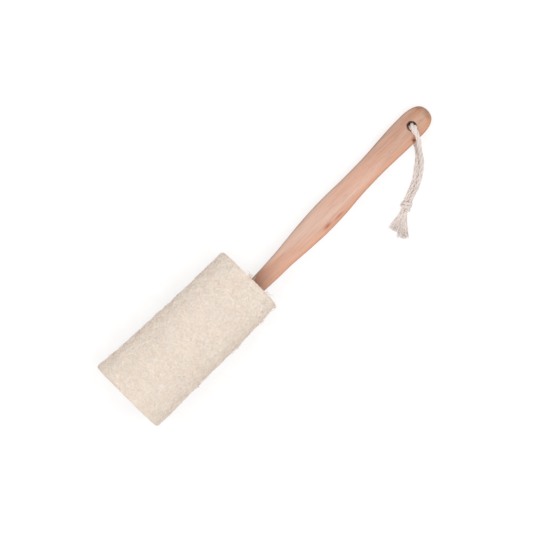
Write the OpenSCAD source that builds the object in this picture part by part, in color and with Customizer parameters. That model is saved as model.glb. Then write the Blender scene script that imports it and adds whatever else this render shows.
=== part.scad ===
// Loofah back scrubber: a section of dried loofah gourd on a long wooden handle,
// with a cotton hanging cord knotted through the tip of the handle.
// It lies on the plane z = 0, long axis along X, loofah at -X and handle tip at +X.

/* [Loofah] */
// Length of the loofah section
loofah_l = 164; // [140:2:180]
// Outer diameter at the free end
loofah_d_far = 81; // [76:1:86]
// Outer diameter at the handle end
loofah_d_near = 75; // [72:1:80]
// Diameter of the inner core, which is also the bore of the outer wall
core_d = 62; // [60:1:64]
// Diameter of each of the three seed channels in the core
channel_d = 21; // [20:0.5:22]
// Distance from the loofah's axis to each seed channel
channel_r = 17.5; // [17:0.1:18]
// How far the underside is pressed flat where it rests
flat_depth = 0.8; // [0.5:0.1:1.5]
// Skew of both cut ends, in degrees
cut_skew = 1.9; // [0:0.1:3]

/* [Handle] */
// Length of the handle outside the loofah
grip_l = 235; // [200:5:260]
// Scale of the grip's width
grip_w = 1.0; // [0.9:0.05:1.1]
// Scale of the grip's thickness
grip_t = 1.0; // [0.9:0.05:1.05]
// Length of the tang inside the loofah
tang_l = 135; // [90:5:138]
// Diameter of the tang at its tip
tang_d = 12; // [10:0.5:13]

/* [Hanging cord] */
// Diameter of the hole through the handle's tip
hole_d = 8; // [7.5:0.5:9]
// Distance from the hole's centre to the end of the handle
hole_back = 21.7; // [20:0.1:24]
// Diameter of the cotton cord
cord_d = 4.6; // [4:0.1:4.8]

/* [Hidden] */

rf = loofah_d_far / 2;
rn = loofah_d_near / 2;

skew_x = rf * sin(cut_skew);         // how far the skewed end's corner stands out
total_l = loofah_l + grip_l + skew_x;
far_x = -total_l / 2 + skew_x;       // middle of the loofah's free end
face_x = far_x + loofah_l;           // cut face that the handle comes out of
tip_x = total_l / 2;                 // end of the handle
lean = atan((rf - rn) / loofah_l);   // the taper lets the axis drop towards the handle

// The tang's channel is below the axis and towards -Y.
tang_angle = 29;
ch_y = -channel_r * sin(tang_angle);
ch_z = -channel_r * cos(tang_angle);

// Centre of the handle where it leaves the loofah
neck_z = rn - flat_depth + ch_z;
neck_y = ch_y;

hole_x = tip_x - hole_back;
hole_y = 0.9;

// ---------- small helpers ----------

// Smooth value at d through the stations' column k
function seg(st, d, i = 0) = (i >= len(st) - 2 || d < st[i + 1][0]) ? i : seg(st, d, i + 1);
function cub(p0, p1, p2, p3, u) =
    0.5 * (2 * p1 + (p2 - p0) * u + (2 * p0 - 5 * p1 + 4 * p2 - p3) * u * u
           + (3 * p1 - p0 - 3 * p2 + p3) * u * u * u);
function at(st, d, k) =
    let (i = seg(st, d), n = len(st) - 1,
         u = min(1, max(0, (d - st[i][0]) / (st[i + 1][0] - st[i][0]))))
    cub(st[max(0, i - 1)][k], st[i][k], st[i + 1][k], st[min(n, i + 2)][k], u);

// Point on a superellipse of half sizes a and b
function sgn(x) = x < 0 ? -1 : 1;
function spt(a, b, e, t) = [a * sgn(cos(t)) * pow(abs(cos(t)), 2 / e),
                            b * sgn(sin(t)) * pow(abs(sin(t)), 2 / e)];

// Closed skin over rings of n points each
module skin(rings) {
    n = len(rings[0]);
    m = len(rings);
    pts = [for (r = rings) for (p = r) p];
    sides = [for (i = [0 : m - 2]) for (j = [0 : n - 1])
                let (a = i * n + j, b = i * n + (j + 1) % n)
                each [[a, b, b + n], [a, b + n, a + n]]];
    polyhedron(pts, concat([[for (j = [n - 1 : -1 : 0]) j]], sides,
                           [[for (j = [0 : n - 1]) (m - 1) * n + j]]));
}

// ---------- loofah ----------

// Draws its children along the loofah's own axis, from the free end at 0
module on_loofah_axis()
    translate([far_x, 0, rf - flat_depth]) rotate([0, lean, 0]) children();

module along_x(l, r1, r2) rotate([0, 90, 0]) cylinder(h = l, r1 = r1, r2 = r2, $fn = 96);

// The block that both cut ends and the flattened underside leave
module cut_block(extra = 0)
    intersection() {
        translate([far_x - 20, -60, 0]) cube([loofah_l + 40, 120, 120]);
        translate([far_x + loofah_l / 2, 0, 0]) rotate([0, 0, cut_skew])
            translate([-loofah_l / 2 * cos(cut_skew) - extra, -80, -20])
                cube([loofah_l * cos(cut_skew) + 2 * extra, 160, 160]);
    }

module loofah_wall()
    color([0.93, 0.87, 0.81])
    intersection() {
        on_loofah_axis() difference() {
            translate([-10, 0, 0])
                along_x(loofah_l + 20, rf + (rf - rn) * 10 / loofah_l, rn - (rf - rn) * 10 / loofah_l);
            translate([-12, 0, 0]) along_x(loofah_l + 24, core_d / 2, core_d / 2);
        }
        cut_block();
    }

module channel(i, grow = 0)
    rotate([i * 120, 0, 0]) translate([-14, ch_y, ch_z])
        along_x(loofah_l + 28, channel_d / 2 + grow, channel_d / 2 + grow);

module loofah_core()
    color([0.90, 0.83, 0.74])
    intersection() {
        on_loofah_axis() difference() {
            translate([-10, 0, 0]) along_x(loofah_l + 20, core_d / 2, core_d / 2);
            for (i = [0 : 2]) channel(i);
        }
        cut_block(-1.2);
    }

// ---------- handle ----------

// Stations along the grip: distance from the loofah's face, sideways place
// of the centre line, half width, half thickness
grip = [
    [-24, -8.5,  6.7, 6.3],
    [ -6, -8.5,  8.1, 6.4],
    [  8, -8.25, 8.7, 6.5],
    [ 22, -7.75, 9.25, 6.6],
    [ 36, -7.0,  9.9, 6.8],
    [ 50, -6.4, 11.0, 7.0],
    [ 65, -5.75, 12.25, 7.3],
    [ 80, -5.15, 13.25, 7.5],
    [ 95, -4.4, 13.5, 7.5],
    [112, -3.5, 13.1, 7.4],
    [130, -2.4, 12.2, 7.2],
    [146, -1.55, 11.8, 7.0],
    [162, -0.8, 12.0, 6.8],
    [180,  0.1, 12.8, 6.6],
    [197,  0.8, 13.5, 6.4],
    [213,  1.3, 13.7, 6.2],
    [235,  1.3, 13.7, 6.0],
];
section_e = 2.7;      // 2 is an ellipse, more is squarer
cap_l = 23;           // length of the rounded end
k_l = grip_l / 235;

function drop(d) = 0.02 * max(d, -24) + 0.000104 * max(d, 0) * max(d, 0);
function cap(d) = max(0, (d - (235 - cap_l)) / cap_l);
function cap_w(d) = pow(1 - pow(min(cap(d), 0.9995), 2.5), 1 / 2.5);
function cap_t(d) = pow(1 - pow(min(cap(d), 0.9995), 4), 1 / 2.2);
function ring(d) =
    let (a = max(0.6, at(grip, d, 2) * grip_w * cap_w(d)),
         b = max(0.6, at(grip, d, 3) * grip_t * cap_t(d)),
         y = at(grip, d, 1), z = neck_z - drop(d))
    [for (j = [0 : 31]) let (p = spt(a, b, section_e, -j * 360 / 32 - 360 / 64))
        [face_x + d * k_l, y + p[0], z + p[1]]];

grip_rings = concat([for (d = [-24 : 6 : 206]) d],
                    [for (u = [10 : 10 : 90]) 235 - cap_l * cos(u)], [234.97]);

module grip_blank() skin([for (d = grip_rings) [for (p = ring(d)) p]]);

// The tang is a turned peg that follows its seed channel.
module tang_blank(grow = 0)
    on_loofah_axis() translate([loofah_l - 8 - tang_l, ch_y, ch_z]) {
        along_x(tang_l - 8, tang_d / 2 + grow, 6.3 + grow);
        translate([-2, 0, 0]) along_x(2.01, tang_d / 2 - 1.5 + grow, tang_d / 2 + grow);
    }

hole_top = neck_z - drop(213) + 6.2 * grip_t;
hole_bot = neck_z - drop(213) - 6.2 * grip_t;

module handle()
    color([0.86, 0.68, 0.58])
    difference() {
        union() { grip_blank(); tang_blank(); }
        translate([hole_x, hole_y, -5]) cylinder(h = 40, d = hole_d, $fn = 48);
        // eased rims of the hole
        translate([hole_x, hole_y, hole_top - 1.3])
            cylinder(h = 3, r1 = hole_d / 2, r2 = hole_d / 2 + 3, $fn = 48);
        translate([hole_x, hole_y, hole_bot - 1.7])
            cylinder(h = 3.4, r1 = hole_d / 2 + 3.4, r2 = hole_d / 2, $fn = 48);
    }

// Cured adhesive round the tang, set back from the cut face
module tang_adhesive()
    color([0.80, 0.68, 0.45])
    on_loofah_axis() difference() {
        translate([loofah_l - tang_l + 6, ch_y, ch_z])
            along_x(tang_l - 36, channel_d / 2 - 0.05, channel_d / 2 - 0.05);
        translate([loofah_l - tang_l + 1, ch_y, ch_z])
            along_x(tang_l - 24, 6.45, 6.45);
    }

// ---------- hanging cord ----------

floor_z = cord_d / 2 + 0.1;
mid_z = (hole_top + hole_bot) / 2;

// Route points of the two runs, from the middle of the hole:
// X and Y from the hole's centre, and height above the surface.
front_route = [
    [  0.0,   0.0, mid_z],
    [  0.0,   0.0, hole_top - 4.6],
    [ -0.1,  -0.5, hole_top - 2.2],
    [ -0.3,  -1.9, hole_top + 0.7],
    [ -0.8,  -4.3, hole_top + 2.8],
    [ -1.7,  -7.4, hole_top + 4.0],
    [ -3.0, -10.9, hole_top + 4.1],
    [ -4.8, -14.2, hole_top + 3.4],
    [ -6.9, -17.2, hole_top + 1.6],
    [ -9.0, -20.2, hole_top - 1.6],
    [-11.3, -23.9, hole_top - 6.2],
    [-14.0, -28.3, hole_top - 11.2],
    [-17.0, -32.2, 4.6],
    [-20.5, -35.8, 2.8],
    [-24.4, -38.9, floor_z],
    [-28.4, -41.7, floor_z],
    [-32.7, -44.3, floor_z],
    [-37.3, -46.5, floor_z],
    [-42.0, -48.2, 2.8],
    [-46.0, -49.6, 3.7],
    [-49.5, -50.7, 4.5],
];
back_route = [
    [  0.0,   0.0, mid_z],
    [  0.0,   0.0, hole_bot + 4.2],
    [ -0.3,  -0.6, hole_bot + 1.7],
    [ -1.1,  -2.1, 5.8],
    [ -2.5,  -4.5, 3.7],
    [ -4.1,  -7.3, 2.6],
    [ -5.6, -10.0, floor_z],
    [ -7.5, -13.5, floor_z],
    [ -9.9, -17.9, floor_z],
    [-12.7, -21.9, floor_z],
    [-15.9, -25.5, floor_z],
    [-19.4, -28.9, floor_z],
    [-23.3, -31.9, floor_z],
    [-27.1, -34.9, floor_z],
    [-31.0, -37.9, floor_z],
    [-35.2, -40.5, floor_z],
    [-39.8, -42.8, floor_z],
    [-44.2, -44.8, 2.8],
    [-48.2, -46.6, 3.6],
    [-51.2, -48.1, 4.5],
];

function unit(v) = v / norm(v);
function way(r, i) = unit(r[min(len(r) - 1, i + 1)] - r[max(0, i - 1)]);
// A side direction that turns smoothly along the route
function side(w) = unit(cross(w, unit([-0.8, 0.55, 0.05])));
function tube_ring(r, i, rad, n) =
    let (w = way(r, i), s = side(w), q = cross(s, w))
    [for (j = [0 : n - 1]) r[i] + rad * (cos(j * 360 / n) * s + sin(j * 360 / n) * q)];
module tube(route, d, n = 10)
    translate([hole_x, hole_y, 0])
        skin([for (i = [0 : len(route) - 1]) tube_ring(route, i, d / 2, n)]);

module cord_front_run() color([0.86, 0.81, 0.78]) tube(front_route, cord_d);
module cord_back_run() color([0.84, 0.79, 0.76]) tube(back_route, cord_d);

// The knot, pulled tight round both runs
knot_x = -55.9;
knot_y = -51.9;
knot_turn = 207;
module knot_place() translate([hole_x + knot_x, hole_y + knot_y, 5.5]) rotate([0, 0, knot_turn]) children();
module cord_knot()
    color([0.88, 0.83, 0.79])
    knot_place() rotate([0, 90, 0])
        rotate_extrude($fn = 40)
            polygon([for (t = [-90 : 10 : 90]) [max(0, 5.4 * pow(cos(t), 0.75)), 7.2 * sin(t)]]);

// The two cord ends below the knot, opened out into loose yarns
module end_fan(turn, l, w)
    rotate([0, 0, turn]) hull() {
        translate([0, 0, 0]) cylinder(h = 4.2, r = 2.6, $fn = 32);
        translate([l * 0.45, 0, 0]) cylinder(h = 4.2, r = w * 0.55, $fn = 32);
        translate([l - w, 0, 0]) cylinder(h = 3.0, r = w, $fn = 32);
    }
module frayed_ends()
    color([0.80, 0.76, 0.72])
    translate([hole_x + knot_x, hole_y + knot_y, 0.3]) rotate([0, 0, knot_turn])
        translate([5, 0, 0]) {
            end_fan(-10, 22.5, 4.4);
            end_fan(15, 26.5, 4.8);
        }

handle();
loofah_wall();
loofah_core();
tang_adhesive();
cord_front_run();
cord_back_run();
cord_knot();
frayed_ends();
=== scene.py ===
import math

import bpy
import numpy as np
from mathutils import Matrix, Vector


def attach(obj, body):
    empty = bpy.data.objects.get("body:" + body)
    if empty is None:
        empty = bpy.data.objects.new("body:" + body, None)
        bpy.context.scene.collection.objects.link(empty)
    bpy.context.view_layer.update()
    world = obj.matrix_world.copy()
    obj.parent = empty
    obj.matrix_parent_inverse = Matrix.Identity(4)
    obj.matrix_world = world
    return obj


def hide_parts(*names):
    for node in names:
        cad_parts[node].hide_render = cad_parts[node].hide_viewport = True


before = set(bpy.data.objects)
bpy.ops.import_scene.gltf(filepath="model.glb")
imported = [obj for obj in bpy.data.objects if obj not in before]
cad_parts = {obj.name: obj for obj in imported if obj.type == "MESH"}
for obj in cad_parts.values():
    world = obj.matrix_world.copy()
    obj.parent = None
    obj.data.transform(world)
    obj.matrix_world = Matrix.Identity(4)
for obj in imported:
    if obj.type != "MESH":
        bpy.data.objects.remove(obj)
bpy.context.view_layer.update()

MM = 0.001
scene = bpy.context.scene

# ------------------------------------------------------------------ sizes, in mm, as the CAD has them
LOOF_L, RF, RN = 164.0, 40.5, 37.5
SKEW = math.radians(1.9)
FLAT = 0.8
LEAN = math.atan((RF - RN) / LOOF_L)
SKEW_X = RF * math.sin(SKEW)
TOTAL = LOOF_L + 235.0 + SKEW_X
FAR_X = -TOTAL / 2 + SKEW_X
FACE_X = FAR_X + LOOF_L
TIP_X = TOTAL / 2
CH_R, CH_D = 17.5, 21.0
TANG = math.radians(29)
CH_Y, CH_Z = -CH_R * math.sin(TANG), -CH_R * math.cos(TANG)
NECK_Z = RN - FLAT + CH_Z
HOLE_X, HOLE_Y = TIP_X - 21.7, 0.9
CORD_D = 4.6


def on_axis(lx, y, z):
    """A point of the loofah's own frame (from its free end, along its leaning axis) in the row frame."""
    c, s = math.cos(LEAN), math.sin(LEAN)
    return np.stack([FAR_X + lx * c + z * s, y + 0 * lx, RF - FLAT - lx * s + z * c], -1)


CHANNELS = []
for i in range(3):
    a = math.radians(120 * i)
    CHANNELS.append((CH_Y * math.cos(a) - CH_Z * math.sin(a), CH_Y * math.sin(a) + CH_Z * math.cos(a)))


# ------------------------------------------------------------------ camera
cam_data = bpy.data.cameras.new("camera")
cam = bpy.data.objects.new("camera", cam_data)
scene.collection.objects.link(cam)
right = Vector((0.72671, -0.68694, 0.0))
up = Vector((0.68694, 0.72671, 0.0))
back = Vector((0.0, 0.0, 1.0))
cam.matrix_world = Matrix((
    (right.x, up.x, back.x, -0.0162),
    (right.y, up.y, back.y, -0.0013),
    (right.z, up.z, back.z, 4.0),
    (0, 0, 0, 1)))
cam_data.sensor_width = 36.0
cam_data.lens = 18.0 * (4.0 - 0.027) / (0.9606e-3 * 533 / 2)
cam_data.clip_start, cam_data.clip_end = 0.01, 60.0
scene.camera = cam


# ------------------------------------------------------------------ mesh helpers
def build(name, verts, groups, mat, attrs=None, smooth=True):
    """A mesh object, from points in mm and arrays of faces, each array with its own corner count."""
    me = bpy.data.meshes.new(name)
    v = (np.asarray(verts, np.float64).reshape(-1, 3) * MM).astype(np.float32)
    groups = [np.asarray(g, np.int32) for g in groups if len(g)]
    loops = np.concatenate([g.ravel() for g in groups])
    counts = np.concatenate([np.full(len(g), g.shape[1], np.int32) for g in groups])
    starts = np.concatenate([[0], np.cumsum(counts)[:-1]]).astype(np.int32)
    me.vertices.add(len(v))
    me.vertices.foreach_set("co", v.ravel())
    me.loops.add(len(loops))
    me.loops.foreach_set("vertex_index", loops)
    me.polygons.add(len(counts))
    me.polygons.foreach_set("loop_start", starts)
    me.polygons.foreach_set("use_smooth", np.full(len(counts), smooth))
    for key, vals in (attrs or {}).items():
        at = me.attributes.new(key, "FLOAT", "POINT")
        at.data.foreach_set("value", np.asarray(vals, np.float32).ravel())
    me.update(calc_edges=True)
    me.validate()
    ob = bpy.data.objects.new(name, me)
    scene.collection.objects.link(ob)
    me.materials.append(mat)
    return ob


def norm(v):
    return v / np.maximum(np.linalg.norm(v, axis=-1, keepdims=True), 1e-9)


def tube_arrays(paths, radii, sides=5, ref=None, base=0, flat=None):
    """Closed tubes round many paths at once. paths is (F, N, 3) and radii (F, N). Returns the points and the faces."""
    P = np.asarray(paths, float)
    R = np.asarray(radii, float)
    F, N, _ = P.shape
    T = norm(np.gradient(P, axis=1))
    if ref is None:
        mean = np.abs(T.mean(1))
        ref = np.eye(3)[mean.argmin(1)][:, None, :]
    elif np.ndim(ref) == 2:
        ref = np.asarray(ref)[:, None, :]
    S = norm(np.cross(T, ref))
    U = np.cross(S, T)
    a = 2 * np.pi * np.arange(sides) / sides
    k = 1.0 if flat is None else flat
    ring = (P[:, :, None, :]
            + R[:, :, None, None] * (np.cos(a)[None, None, :, None] * S[:, :, None, :]
                                     + k * np.sin(a)[None, None, :, None] * U[:, :, None, :]))
    f = np.arange(F)[:, None, None] * N * sides
    i = np.arange(N - 1)[None, :, None] * sides
    j = np.arange(sides)[None, None, :]
    j2 = (j + 1) % sides
    a0, b0 = f + i + j, f + i + j2
    quads = np.stack([a0, a0 + sides, b0 + sides, b0], -1).reshape(-1, 4) + base
    start = (f[:, 0, :] + np.arange(sides)[None, :]) + base
    end = (f[:, 0, :] + (N - 1) * sides + np.arange(sides)[None, ::-1]) + base
    return ring.reshape(-1, 3), [quads, start, end]


def smooth_path(points, step):
    """A Catmull-Rom line through the points, resampled evenly."""
    p = np.asarray(points, float)
    q = np.vstack([2 * p[0] - p[1], p, 2 * p[-1] - p[-2]])
    out = []
    for i in range(1, len(q) - 2):
        for u in np.linspace(0, 1, 24, endpoint=False):
            p0, p1, p2, p3 = q[i - 1], q[i], q[i + 1], q[i + 2]
            out.append(0.5 * (2 * p1 + (p2 - p0) * u + (2 * p0 - 5 * p1 + 4 * p2 - p3) * u * u
                              + (3 * p1 - p0 - 3 * p2 + p3) * u ** 3))
    out.append(q[-2])
    return evenly(np.array(out), step)


def evenly(line, step):
    d = np.concatenate([[0], np.cumsum(np.linalg.norm(np.diff(line, axis=0), axis=1))])
    n = max(3, int(round(d[-1] / step)) + 1)
    s = np.linspace(0, d[-1], n)
    return np.stack([np.interp(s, d, line[:, k]) for k in range(3)], -1)


def carried_frames(line, first=None):
    """Side directions along a line that don't spin."""
    T = norm(np.gradient(line, axis=0))
    s = np.array([0.0, 0.0, 1.0]) if first is None else np.array(first, float)
    if abs(T[0] @ s) > 0.9:
        s = np.array([0.8, -0.55, 0.1])
    S = np.zeros_like(line)
    for i, t in enumerate(T):
        s = s - (s @ t) * t
        s = s / np.linalg.norm(s)
        S[i] = s
    return T, S, np.cross(T, S)


# ------------------------------------------------------------------ material helpers
def new_mat(name):
    m = bpy.data.materials.new(name)
    m.use_nodes = True
    nt = m.node_tree
    nt.nodes.clear()
    out = nt.nodes.new("ShaderNodeOutputMaterial")
    p = nt.nodes.new("ShaderNodeBsdfPrincipled")
    nt.links.new(p.outputs[0], out.inputs[0])
    return m, nt, p


def srgb(r, g, b):
    def f(c):
        c /= 255
        return c / 12.92 if c <= 0.04045 else ((c + 0.055) / 1.055) ** 2.4
    return (f(r), f(g), f(b), 1.0)


def node(nt, kind, **values):
    n = nt.nodes.new(kind)
    for k, v in values.items():
        if k in n.inputs:
            n.inputs[k].default_value = v
        else:
            setattr(n, k, v)
    return n


def mapped(nt, scale, source="Object"):
    tc = nt.nodes.new("ShaderNodeTexCoord")
    mp = nt.nodes.new("ShaderNodeMapping")
    mp.inputs["Scale"].default_value = scale
    nt.links.new(tc.outputs[source], mp.inputs["Vector"])
    return mp.outputs[0]


def noise(nt, vec, scale, detail=3.0, rough=0.55, distortion=0.0):
    n = nt.nodes.new("ShaderNodeTexNoise")
    n.inputs["Scale"].default_value = scale
    n.inputs["Detail"].default_value = detail
    n.inputs["Roughness"].default_value = rough
    n.inputs["Distortion"].default_value = distortion
    nt.links.new(vec, n.inputs["Vector"])
    return n.outputs["Fac"]


def ramp(nt, fac, stops):
    r = nt.nodes.new("ShaderNodeValToRGB")
    els = r.color_ramp.elements
    els[0].position, els[0].color = stops[0][0], stops[0][1]
    els[1].position, els[1].color = stops[-1][0], stops[-1][1]
    for pos, col in stops[1:-1]:
        e = els.new(pos)
        e.color = col
    nt.links.new(fac, r.inputs[0])
    return r.outputs[0]


def mix(nt, kind, fac, a, b):
    m = nt.nodes.new("ShaderNodeMix")
    m.data_type = "RGBA"
    m.blend_type = kind
    for sock, val in ((m.inputs[0], fac), (m.inputs[6], a), (m.inputs[7], b)):
        if hasattr(val, "is_linked") or isinstance(val, bpy.types.NodeSocket):
            nt.links.new(val, sock)
        else:
            sock.default_value = val
    return m.outputs[2]


def math_node(nt, op, a, b=None, clamp=False):
    m = nt.nodes.new("ShaderNodeMath")
    m.operation = op
    m.use_clamp = clamp
    for sock, val in ((m.inputs[0], a), (m.inputs[1], b)):
        if val is None:
            continue
        if isinstance(val, bpy.types.NodeSocket):
            nt.links.new(val, sock)
        else:
            sock.default_value = val
    return m.outputs[0]


def bump(nt, p, height, strength, distance):
    b = nt.nodes.new("ShaderNodeBump")
    b.inputs["Strength"].default_value = strength
    b.inputs["Distance"].default_value = distance
    nt.links.new(height, b.inputs["Height"])
    nt.links.new(b.outputs[0], p.inputs["Normal"])


def attribute(nt, name):
    a = nt.nodes.new("ShaderNodeAttribute")
    a.attribute_name = name
    return a.outputs["Fac"]


def rough_range(nt, p, fac, lo, hi):
    r = nt.nodes.new("ShaderNodeMapRange")
    r.inputs["To Min"].default_value = lo
    r.inputs["To Max"].default_value = hi
    nt.links.new(fac, r.inputs["Value"])
    nt.links.new(r.outputs[0], p.inputs["Roughness"])


# ------------------------------------------------------------------ materials
def wood_material():
    m, nt, p = new_mat("wood")
    grain = mapped(nt, (9.0, 150.0, 150.0))
    fine = mapped(nt, (40.0, 900.0, 900.0))
    wide = mapped(nt, (5.0, 42.0, 42.0))
    g1 = noise(nt, grain, 1.0, 5.0, 0.6, 0.6)
    g2 = noise(nt, fine, 1.0, 4.0, 0.65, 0.2)
    g3 = noise(nt, wide, 1.0, 2.0, 0.5, 0.8)
    base = ramp(nt, g1, [(0.28, srgb(180, 144, 126)), (0.45, srgb(197, 163, 146)),
                         (0.6, srgb(204, 171, 155)), (0.78, srgb(192, 155, 137))])
    bands = ramp(nt, g3, [(0.35, srgb(248, 226, 212)), (0.55, srgb(255, 255, 255)), (0.72, srgb(250, 236, 226))])
    col = mix(nt, "MULTIPLY", 0.9, base, bands)
    streak = ramp(nt, g2, [(0.3, srgb(205, 178, 163)), (0.46, srgb(255, 255, 255)), (1.0, srgb(255, 255, 255))])
    col = mix(nt, "MULTIPLY", 0.55, col, streak)
    # slightly darker where it goes into the loofah and at the tip
    age = attribute(nt, "age")
    col = mix(nt, "MULTIPLY", age, col, srgb(237, 233, 228))
    # painted highlight: the lower -Y bevel is coloured warmer and lighter, as if lit
    side = attribute(nt, "side")
    col = mix(nt, "MIX", side, col, srgb(214, 152, 118))
    col = mix(nt, "MULTIPLY", attribute(nt, "tip"), col, srgb(240, 214, 168))
    col = mix(nt, "MULTIPLY", attribute(nt, "neck"), col, srgb(196, 188, 184))
    # painted shade: the handle's outermost sides and its very tip are coloured darker
    edge = attribute(nt, "edge")
    col = mix(nt, "MULTIPLY", edge, col, srgb(190, 184, 179))
    # painted shade: the inside of the hole, and a painted shadow beside the cord on the edge, coloured dark brown
    bore = attribute(nt, "bore")
    col = mix(nt, "MIX", bore, col, srgb(84, 50, 38))
    # darker spots in the wood; the one where the cord hangs over the edge is painted shadow
    spots_and_cord_shadow = attribute(nt, "spots_and_cord_shadow")
    col = mix(nt, "MULTIPLY", spots_and_cord_shadow, col, srgb(196, 132, 104))
    nt.links.new(col, p.inputs["Base Color"])
    rough_range(nt, p, g2, 0.42, 0.62)
    p.inputs["Specular IOR Level"].default_value = 0.4
    h = math_node(nt, "ADD", math_node(nt, "MULTIPLY", g2, 0.6), math_node(nt, "MULTIPLY", g1, 0.4))
    bump(nt, p, h, 0.25, 0.0003)
    return m


def fibre_material(name, dark, mid, light, spot):
    m, nt, p = new_mat(name)
    tint = attribute(nt, "tint")
    col = ramp(nt, tint, [(0.0, dark), (0.35, mid), (0.8, light), (1.0, light)])
    patches = noise(nt, mapped(nt, (1, 1, 1)), 40.0, 3.0, 0.6)
    col = mix(nt, "MULTIPLY", 0.15, col, ramp(nt, patches, [(0.3, spot), (0.6, srgb(255, 255, 255))]))
    specks = noise(nt, mapped(nt, (1, 1, 1)), 520.0, 2.0, 0.6)
    col = mix(nt, "MULTIPLY", 0.4, col, ramp(nt, specks, [(0.34, srgb(240, 224, 216)), (0.47, srgb(252, 246, 243)), (0.53, srgb(255, 255, 255)), (0.66, srgb(255, 253, 240))]))
    # painted shade: darker down the loofah's sides, at its cut rims and on the tufts
    col = mix(nt, "MULTIPLY", attribute(nt, "side_shade"), col, srgb(231, 221, 216))
    fine = noise(nt, mapped(nt, (1, 1, 1)), 1500.0, 2.0, 0.6)
    col = mix(nt, "MULTIPLY", 0.3, col, ramp(nt, fine, [(0.25, srgb(232, 222, 210)), (0.6, srgb(255, 255, 255))]))
    nt.links.new(col, p.inputs["Base Color"])
    rough_range(nt, p, fine, 0.72, 0.92)
    p.inputs["Specular IOR Level"].default_value = 0.25
    bump(nt, p, fine, 0.3, 0.0002)
    return m


def mat_bed_material():
    m, nt, p = new_mat("loofah_bed")
    cells = nt.nodes.new("ShaderNodeTexVoronoi")
    cells.inputs["Scale"].default_value = 620.0
    nt.links.new(mapped(nt, (1, 1, 1)), cells.inputs["Vector"])
    fine = noise(nt, mapped(nt, (1, 1, 1)), 900.0, 4.0, 0.7)
    col = ramp(nt, fine, [(0.3, srgb(240, 225, 208)), (0.5, srgb(248, 237, 224)), (0.7, srgb(253, 245, 234))])
    col = mix(nt, "MULTIPLY", 0.35, col, ramp(nt, cells.outputs["Distance"], [(0.0, srgb(255, 255, 255)), (0.8, srgb(232, 217, 201))]))
    nt.links.new(col, p.inputs["Base Color"])
    rough_range(nt, p, fine, 0.8, 0.95)
    p.inputs["Specular IOR Level"].default_value = 0.2
    bump(nt, p, fine, 0.6, 0.0006)
    return m


def cotton_material(name, dark, light):
    m, nt, p = new_mat(name)
    tint = attribute(nt, "tint")
    col = ramp(nt, tint, [(0.0, dark), (0.6, light), (1.0, light)])
    fuzz = noise(nt, mapped(nt, (1, 1, 1)), 1800.0, 3.0, 0.65)
    col = mix(nt, "MULTIPLY", 0.4, col, ramp(nt, fuzz, [(0.3, srgb(230, 222, 217)), (0.6, srgb(255, 255, 255))]))
    # painted shade: the cord inside the hole is coloured dark brown
    col = mix(nt, "MIX", attribute(nt, "hole_shade"), col, srgb(70, 42, 30))
    nt.links.new(col, p.inputs["Base Color"])
    rough_range(nt, p, fuzz, 0.82, 0.96)
    p.inputs["Sheen Weight"].default_value = 0.03
    p.inputs["Sheen Roughness"].default_value = 0.5
    p.inputs["Specular IOR Level"].default_value = 0.2
    bump(nt, p, fuzz, 0.35, 0.0002)
    return m


def adhesive_material():
    m, nt, p = new_mat("adhesive")
    n = noise(nt, mapped(nt, (1, 1, 1)), 140.0, 4.0, 0.55)
    nt.links.new(ramp(nt, n, [(0.3, srgb(176, 138, 84)), (0.7, srgb(214, 184, 132))]), p.inputs["Base Color"])
    rough_range(nt, p, n, 0.25, 0.5)
    bump(nt, p, n, 0.5, 0.001)
    return m


WOOD = wood_material()
WALL_FIBRE = fibre_material("loofah_fibre", srgb(238, 226, 215), srgb(246, 238, 229), srgb(252, 248, 241), srgb(249, 238, 232))
CORE_FIBRE = fibre_material("loofah_core_fibre", srgb(232, 214, 192), srgb(242, 227, 209), srgb(250, 239, 224), srgb(244, 229, 211))
BED = mat_bed_material()
COTTON = cotton_material("cotton", srgb(204, 190, 184), srgb(221, 210, 204))
YARN = cotton_material("cotton_yarn", srgb(204, 190, 183), srgb(230, 220, 214))
GLUE = adhesive_material()

HOLE_TOP = NECK_Z - (0.02 * 213 + 0.000104 * 213 ** 2) + 6.2
HOLE_BOT = HOLE_TOP - 12.4
MID_Z = (HOLE_TOP + HOLE_BOT) / 2
FLOOR_Z = CORD_D / 2 + 0.1

# ------------------------------------------------------------------ cords (routes as the CAD has them)
FRONT = [
    (0.0, 0.0, MID_Z), (0.0, 0.0, HOLE_TOP - 4.6), (-0.1, -0.5, HOLE_TOP - 2.2), (-0.3, -1.9, HOLE_TOP + 0.7),
    (-0.8, -4.3, HOLE_TOP + 2.8), (-1.7, -7.4, HOLE_TOP + 4.0), (-3.0, -10.9, HOLE_TOP + 4.1),
    (-4.8, -14.2, HOLE_TOP + 3.4), (-6.9, -17.2, HOLE_TOP + 1.6), (-9.0, -20.2, HOLE_TOP - 1.6),
    (-11.3, -23.9, HOLE_TOP - 6.2), (-14.0, -28.3, HOLE_TOP - 11.2), (-17.0, -32.2, 4.6), (-20.5, -35.8, 2.8),
    (-24.4, -38.9, FLOOR_Z), (-28.4, -41.7, FLOOR_Z), (-32.7, -44.3, FLOOR_Z), (-37.3, -46.5, FLOOR_Z),
    (-42.0, -48.2, 2.8), (-46.0, -49.6, 3.7), (-49.5, -50.7, 4.5)]
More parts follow.
